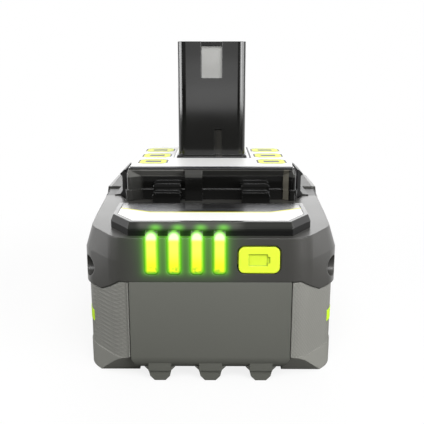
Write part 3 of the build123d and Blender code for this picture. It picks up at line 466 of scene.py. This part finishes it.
def printed_film():
    """Film in two fields; the line between them turns back toward both ends.
    The dark field has a painted sheen toward its ends and a painted shadow along its rear edge.
    """
    film = Finish("label film")
    spot = film.spot()
    x, y, _ = film.axes(spot)
    low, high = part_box("name_label")
    line_place = 11.1 * mm
    turn_start = 18.8 * mm
    turn_end = 29.2 * mm
    turn_back = 5.7 * mm
    line_width = 0.9 * mm
    fade = 0.2 * mm
    middle_black = (0.002, 0.002, 0.003)
    sheen_slate = (0.018, 0.022, 0.034)
    sheen_tip_grey = (0.36, 0.34, 0.28)
    rear_shadow_black = (0.001, 0.001, 0.001)
    bright_white = (0.95, 0.95, 0.94)
    dull_white = (0.84, 0.85, 0.86)
    line_yellow = (0.82, 0.80, 0.02)
    side = abs(x)
    behind = high.y - y
    line = film.ramp(side, turn_start, turn_end, "LINEAR") * turn_back + (low.y + line_place)
    dark = film.ramp(y - line, 0.0, fade)
    yellow = film.ramp(y - line, -line_width, fade - line_width)
    # Painted sheen on the dark field toward both ends.
    slate_sheen = film.mix(film.ramp(side, 6.0 * mm, 26.0 * mm), middle_black, sheen_slate)
    sheen_tips = film.ramp(side, 23.5 * mm, 28.5 * mm) * film.ramp(behind, 1.5 * mm, 6.0 * mm)
    # Painted shadow along the rear edge of the film.
    inside = film.ramp(behind, 0.8 * mm, 1.4 * mm)
    upper = film.mix(inside, rear_shadow_black, film.mix(sheen_tips, slate_sheen, sheen_tip_grey))
    white = film.mix(film.noise(spot, scale=80.0) * 0.3, bright_white, dull_white)
    lower = film.mix(yellow, white, line_yellow)
    return film.surface(
        Base_Color=film.mix(dark, lower, upper),
        Roughness=film.noise(spot, scale=200.0) * 0.1 + 0.42 - dark * 0.24,
        Normal=film.relief(film.noise(spot, scale=1200.0), depth=0.003 * mm, edge=0.1 * mm),
        Coat_Weight=dark * 0.25,
        Coat_Roughness=0.06,
    )


wear(gloss_plate(), "name_plate")
wear(printed_film(), "name_label")


# The deck and stem: one gloss-black moulding with the long lugs and post in front and the tall
# contact stem on top. A bar closes the stem, and nickel-plated contacts stand in its windows.

def stem_black():
    """Gloss black with a painted sheen on the sloped rim of the front recess and in the groove of the stem.
    """
    stem = Finish("stem gloss black")
    spot = stem.spot()
    x, y, z = stem.axes(spot)
    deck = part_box("deck_label")[0]
    recess_depth = 3.2 * mm
    recess_low = 12.0 * mm
    recess_high = 0.6 * mm
    lintel_low = 3.6 * mm
    lintel_fade = 0.4 * mm
    cheek_inner = 25.0 * mm
    cheek_outer = 27.0 * mm
    far_inner = 26.6 * mm
    far_outer = 28.5 * mm
    groove_left = 1.0 * mm
    groove_right = 4.1 * mm
    groove_rise = 11.2 * mm
    groove_back = 29.0 * mm
    dark_black = (0.0045, 0.0045, 0.0043)
    light_black = (0.0065, 0.0065, 0.006)
    groove_sheen_black = (0.026, 0.025, 0.022)
    lintel_sheen_grey = (0.160, 0.160, 0.150)
    cheek_sheen_grey = (0.075, 0.075, 0.070)
    far_sheen_grey = (0.130, 0.122, 0.098)
    cloud = stem.noise(spot, scale=60.0, detail=3.0)
    black = stem.mix(cloud, dark_black, light_black)
    mouth = (y < deck.y + recess_depth) * (z > deck.z - recess_low) * (z < deck.z - recess_high)
    # Painted sheen on the sloped rim of the front recess, brighter on its left half and at the far right.
    lintel_sheen = mouth * stem.ramp(z, deck.z - lintel_low, deck.z - lintel_low + lintel_fade)
    left_half = 1.0 - stem.ramp(x, -10.6 * mm, -9.8 * mm)
    cheek_sheen = mouth * (1.0 - stem.ramp(x, -cheek_outer, -cheek_inner))
    far_cheek_sheen = mouth * (x > far_inner) * (x < far_outer)
    # Painted sheen in the groove of the stem, lighter toward its right.
    in_groove = (x > groove_left) * (x < groove_right) * (z > deck.z) * (z < deck.z + groove_rise)
    groove_sheen = in_groove * (y < deck.y + groove_back)
    lighter_right = stem.ramp(x, groove_left, groove_right, "LINEAR") * 0.75 + 0.25
    gloss = stem.mix(groove_sheen * lighter_right, black, groove_sheen_black)
    rim = stem.mix(lintel_sheen * (left_half * 0.7 + 0.3), gloss, lintel_sheen_grey)
    left_rim = stem.mix(cheek_sheen * 0.38, rim, cheek_sheen_grey)
    return stem.surface(
        Base_Color=stem.mix(far_cheek_sheen, left_rim, far_sheen_grey),
        Roughness=cloud * 0.05 + 0.06,
        Normal=stem.relief(stem.noise(spot, scale=1500.0), depth=0.001 * mm, edge=0.4 * mm),
    )


wear(stem_black(), "stem_housing")
wear(grained_plastic("matte black", (0.006, 0.006, 0.006), roughness=0.5), "stem_cap", "contact_carrier")
plated = rolled_metal("nickel contact", (0.72, 0.72, 0.70), roughness=0.42)
wear(plated, "front_contact", "rear_contact", "signal_contacts")


# The deck label: white printed sheet glued round the foot of the stem, open to the back, with
# six yellow patches edged in black, three a side, and a dark bar in each.

def deck_print():
    """Patches with cut corners, the dark frame of the stem's foot and a dark front margin."""
    sheet = Finish("deck label")
    spot = sheet.spot()
    x, y, _ = sheet.axes(spot)
    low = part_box("deck_label")[0]
    print_shift = 0.3 * mm
    margin = 2.2 * mm
    foot_side = 15.7 * mm
    foot_front = 23.4 * mm
    patch_place = 23.0 * mm
    first_row = 14.4 * mm
    row_pitch = 16.3 * mm
    first_half_width = 5.1 * mm
    row_widening = 0.3 * mm
    half_depth = 5.2 * mm
    corner_cut = 1.6 * mm
    edge_width = 0.6 * mm
    bar_half_width = 3.0 * mm
    bar_half_depth = 2.0 * mm
    dull_white = (0.88, 0.88, 0.87)
    bright_white = (0.96, 0.96, 0.95)
    edge_black = (0.012, 0.013, 0.018)
    patch_yellow = (0.80, 0.86, 0.02)
    bar_black = (0.03, 0.035, 0.06)
    side = abs(x - print_shift)
    across = abs(side - patch_place)
    patches = 0.0
    edges = 0.0
    bars = 0.0
    for row in range(3):
        half_width = first_half_width + row * row_widening
        along = abs(y - (low.y + first_row + row * row_pitch))
        corner = across + along - (half_width + half_depth - corner_cut)
        beyond = (across - half_width).math("MAXIMUM", along - half_depth).math("MAXIMUM", corner)
        patches = (beyond < 0.0) + patches
        edges = (beyond < edge_width) + edges
        bars = (across < bar_half_width) * (along < bar_half_depth) + bars
    foot = (side < foot_side) * (y > low.y + foot_front)
    dark = (edges + foot + (y < low.y + margin)).math("MINIMUM", 1.0)
    speckle = sheet.noise(spot, scale=900.0)
    framed = sheet.mix(dark, sheet.mix(speckle, dull_white, bright_white), edge_black)
    patched = sheet.mix(patches.math("MINIMUM", 1.0), framed, patch_yellow)
    return sheet.surface(
        Base_Color=sheet.mix(bars.math("MINIMUM", 1.0), patched, bar_black),
        Roughness=speckle * 0.15 + 0.42,
        Normal=sheet.relief(speckle, depth=0.005 * mm, edge=0.1 * mm),
    )


wear(deck_print(), "deck_label")


# The latches: black nylon hooks beside the deck, each one moulding with the pad that the hand
# squeezes on the side of the pack. A coil of spring steel wire in its pocket pushes each one out.

wear(grained_plastic("latch nylon", (0.020, 0.020, 0.020), roughness=0.40), "left_latch", "right_latch")
wear(spring_steel, "left_latch_spring", "right_latch_spring")


# The case screws: four zinc-plated steel screws. Their heads lie in wells of the cover, and their
# shanks go down into bosses of the tub and hold the two shells together.

wear(rolled_metal("zinc plated screw", (0.55, 0.55, 0.52), roughness=0.32), "case_screws")


# The studio: white floor and backdrop, seen by what shines only behind the pack; the half of the
# room behind the camera is dark. Soft panels stand behind it, above it and at both sides, three
# low strips in front, and the camera a hand's length before the pack, tilted a little down.

floor_half = 3.0
white_light = (1.0, 1.0, 1.0)


def backdrop(finish, behind):
    """1 where the camera looks, and where a mirror or glass shows what lies behind the pack."""
    rays = finish.node("LightPath").socket.node.outputs
    mirrored = Link(finish, rays["Is Glossy Ray"]) + Link(finish, rays["Is Transmission Ray"])
    return (Link(finish, rays["Is Camera Ray"]) + mirrored * behind).math("MINIMUM", 1.0)


def studio_paper():
    """White as the camera sees it, with a faint shadow near the pack, and else dim."""
    paper = Finish("studio floor")
    x, y, _ = paper.axes(paper.spot())
    shadow_near = 90.0 * mm
    shadow_far = 200.0 * mm
    away = (x * x + y * y).math("SQRT")
    share = paper.ramp(away, shadow_near, shadow_far) * 0.16 + 0.84
    glowing = paper.node("Emission", {}, {"Color": white_light, "Strength": 1.0})
    shaded = paper.node("BsdfDiffuse", {}, {"Color": (0.90, 0.90, 0.90)})
    dim = paper.node("BsdfDiffuse", {}, {"Color": (0.11, 0.11, 0.105)})
    pale = paper.node("MixShader", {}, {0: share, 1: shaded, 2: glowing})
    paper.join(paper.node("MixShader", {}, {0: backdrop(paper, y > 0.0), 1: dim, 2: pale}))
    return paper.holder


def studio_room():
    """Dim light from all round, and the white wall that shows behind the pack."""
    room = Finish("studio", bpy.data.worlds)
    y = room.axes(room.node("TexCoord", out="Generated"))[1]
    dim = room.node("Background", {}, {"Color": white_light, "Strength": 0.30})
    wall = room.node("Background", {}, {"Color": white_light, "Strength": 1.0})
    shown = room.node("MixShader", {}, {0: backdrop(room, y > 0.0), 1: dim, 2: wall})
    room.join(shown, "OutputWorld")
    return room.holder


def panel(name, place, aim, size, glow):
    """Soft rectangular lamp at a place, turned to what it lights; glow is its own brightness."""
    light = bpy.data.lights.new(name, "AREA")
    light.shape = "RECTANGLE"
    light.size, light.size_y = size
    light.energy = glow * math.pi * size[0] * size[1]
    stand = bpy.data.objects.new(name, light)
    stand.location = place
    direction = Vector(aim) - Vector(place)
    stand.rotation_euler = direction.to_track_quat("-Z", "Y").to_euler()
    bpy.context.scene.collection.objects.link(stand)


signs = ((-1, -1), (1, -1), (1, 1), (-1, 1))
floor_mesh = bpy.data.meshes.new("floor")
floor_mesh.from_pydata([(x * floor_half, y * floor_half, 0.0) for x, y in signs], [], [(0, 1, 2, 3)])
floor_mesh.materials.append(studio_paper())
floor = bpy.data.objects.new("floor", floor_mesh)
bpy.context.scene.collection.objects.link(floor)
bpy.context.scene.world = studio_room()

panel("back panel", place=(0.0, 1.10, 0.26), aim=(0.0, 0.0, 0.05), size=(1.10, 0.44), glow=1.4)
panel("rear key", place=(0.0, 0.85, 0.80), aim=(0.0, 0.0, 0.03), size=(0.60, 0.30), glow=4.5)
panel("right panel", place=(0.95, -0.30, 0.09), aim=(0.0, 0.0, 0.06), size=(0.90, 0.17), glow=7.5)
panel("right key", place=(0.68, -0.60, 0.26), aim=(0.0, 0.0, 0.03), size=(0.44, 0.50), glow=6.5)
panel("left panel", place=(-0.95, -0.12, 0.09), aim=(0.0, 0.0, 0.06), size=(0.70, 0.17), glow=10.0)
panel("front panel", place=(0.04, -0.66, 0.80), aim=(0.0, 0.0, 0.03), size=(0.80, 0.40), glow=7.6)

strip_place = -0.90
strip_width = 0.15
for low, high, glow in ((0.012, 0.060, 2.3), (0.060, 0.105, 1.6), (0.105, 0.200, 1.0)):
    middle = (low + high) / 2
    size = (strip_width, high - low)
    panel("front strip", place=(0.0, strip_place, middle), aim=(0.0, 0.0, middle), size=size, glow=glow)

camera_aside = 1.4 * mm
camera_distance = 168.33 * mm
camera_height = 94.37 * mm
camera_tilt = math.radians(76.433)
camera_turn = 0.0053

lens = bpy.data.cameras.new("camera")
lens.sensor_width = 36.0
lens.lens = 51.37
lens.clip_start = 0.01
camera = bpy.data.objects.new("camera", lens)
camera.location = (camera_aside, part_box("lower_case")[0].y - camera_distance, camera_height)
camera.rotation_euler = (camera_tilt, 0.0, camera_turn)
bpy.context.scene.collection.objects.link(camera)
bpy.context.scene.camera = camera
bpy.context.scene.view_settings.view_transform = "Standard"
